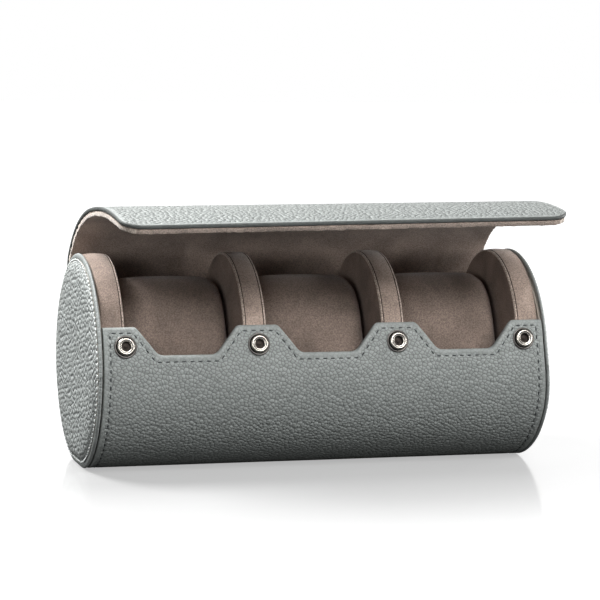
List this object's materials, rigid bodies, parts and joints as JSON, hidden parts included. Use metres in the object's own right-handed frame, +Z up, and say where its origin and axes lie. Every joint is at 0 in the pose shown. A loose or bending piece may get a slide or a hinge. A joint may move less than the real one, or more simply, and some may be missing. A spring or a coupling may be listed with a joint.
{
  "type": "watch storage case",
  "caption": "Cylindrical leather watch roll with snap-down flap, suede dividers and lift-out watch pillows, standing open on a small flat.",
  "frame": {"origin": "centre of the resting flat under the roll", "axes": "+X along the roll to the right, +Y to the back, +Z up"},
  "size_m": [0.2028, 0.1262, 0.116],
  "materials": {
    "leather": "pebbled grain, satin",
    "suede": "brushed suede, matt",
    "foam": "plain foam",
    "board": "grey board",
    "nickel": "polished nickel"
  },
  "bodies": {
    "case": {"body_lining": "suede", "left_cap_board": "board", "left_cap_face": "leather", "left_cap_padding": "foam", "left_cap_welt": "leather", "left_divider_band": "suede", "left_divider_core": "foam", "left_divider_panels": "suede", "left_end_divider_band": "suede", "left_end_divider_core": "foam", "left_end_divider_panels": "suede", "outer_wrap": "leather", "right_cap_board": "board", "right_cap_face": "leather", "right_cap_padding": "foam", "right_cap_welt": "leather", "right_divider_band": "suede", "right_divider_core": "foam", "right_divider_panels": "suede", "right_end_divider_band": "suede", "right_end_divider_core": "foam", "right_end_divider_panels": "suede", "snap_studs": "nickel", "stud_backs": "nickel", "wrap_board": "board"},
    "flap_strip": {"flap_strip_leather": "leather", "flap_strip_lining": "suede"},
    "flap_flat_1": {"flap_1_leather": "leather", "flap_1_board": "board", "flap_1_lining": "suede"},
    "flap_flat_2": {"flap_2_leather": "leather", "flap_2_board": "board", "flap_2_lining": "suede"},
    "flap_flat_3": {"flap_3_leather": "leather", "flap_3_board": "board", "flap_3_lining": "suede"},
    "flap_flat_4": {"flap_4_leather": "leather", "flap_4_board": "board", "flap_4_lining": "suede"},
    "flap_flat_5": {"flap_5_leather": "leather", "flap_5_board": "board", "flap_5_lining": "suede", "snap_sockets": "nickel", "socket_backs": "nickel"},
    "flap_flat_6": {"flap_6_leather": "leather", "flap_6_board": "board", "flap_6_lining": "suede"},
    "left_pillow": {"left_pillow_cover": "suede", "left_pillow_core": "foam"},
    "middle_pillow": {"middle_pillow_cover": "suede", "middle_pillow_core": "foam"},
    "right_pillow": {"right_pillow_cover": "suede", "right_pillow_core": "foam"}
  },
  "joints": [
    {"name": "flap_lift", "type": "hinge", "parent": "case", "child": "flap_strip", "pos_m": [0, 0.04078, 0.06871], "axis": [-1, 0, 0], "range_deg": [0, 140]},
    {"name": "flap_curl", "type": "hinge", "parent": "flap_strip", "child": "flap_flat_1", "pos_m": [0, 0.03242, 0.0813], "axis": [-1, 0, 0], "range_deg": [-19.1, 0]},
    {"name": "flap_fold_2", "type": "hinge", "parent": "flap_flat_1", "child": "flap_flat_2", "pos_m": [0, 0.01781, 0.09753], "axis": [-1, 0, 0], "range_deg": [-4, 0]},
    {"name": "flap_fold_3", "type": "hinge", "parent": "flap_flat_2", "child": "flap_flat_3", "pos_m": [0, -0.00182, 0.1071], "axis": [-1, 0, 0], "range_deg": [-10, 0]},
    {"name": "flap_fold_4", "type": "hinge", "parent": "flap_flat_3", "child": "flap_flat_4", "pos_m": [0, -0.02333, 0.1109], "axis": [-1, 0, 0], "range_deg": [-19, 0]},
    {"name": "flap_fold_5", "type": "hinge", "parent": "flap_flat_4", "child": "flap_flat_5", "pos_m": [0, -0.04514, 0.11204], "axis": [-1, 0, 0], "range_deg": [-18, 0]},
    {"name": "flap_fold_6", "type": "hinge", "parent": "flap_flat_5", "child": "flap_flat_6", "pos_m": [0, -0.0669, 0.11013], "axis": [-1, 0, 0], "range_deg": [-18, 0]},
    {"name": "left_pillow_lift", "type": "slide", "parent": "case", "child": "left_pillow", "axis": [0, 0, 1], "range_m": [0, 0.018]},
    {"name": "middle_pillow_lift", "type": "slide", "parent": "case", "child": "middle_pillow", "axis": [0, 0, 1], "range_m": [0, 0.018]},
    {"name": "right_pillow_lift", "type": "slide", "parent": "case", "child": "right_pillow", "axis": [0, 0, 1], "range_m": [0, 0.018]}
  ],
  "couplings": [
    {"joint": "flap_fold_2", "follows": "flap_curl", "ratio": 0.20942},
    {"joint": "flap_fold_3", "follows": "flap_curl", "ratio": 0.52356},
    {"joint": "flap_fold_4", "follows": "flap_curl", "ratio": 0.99476},
    {"joint": "flap_fold_5", "follows": "flap_curl", "ratio": 0.94241},
    {"joint": "flap_fold_6", "follows": "flap_curl", "ratio": 0.94241}
  ]
}
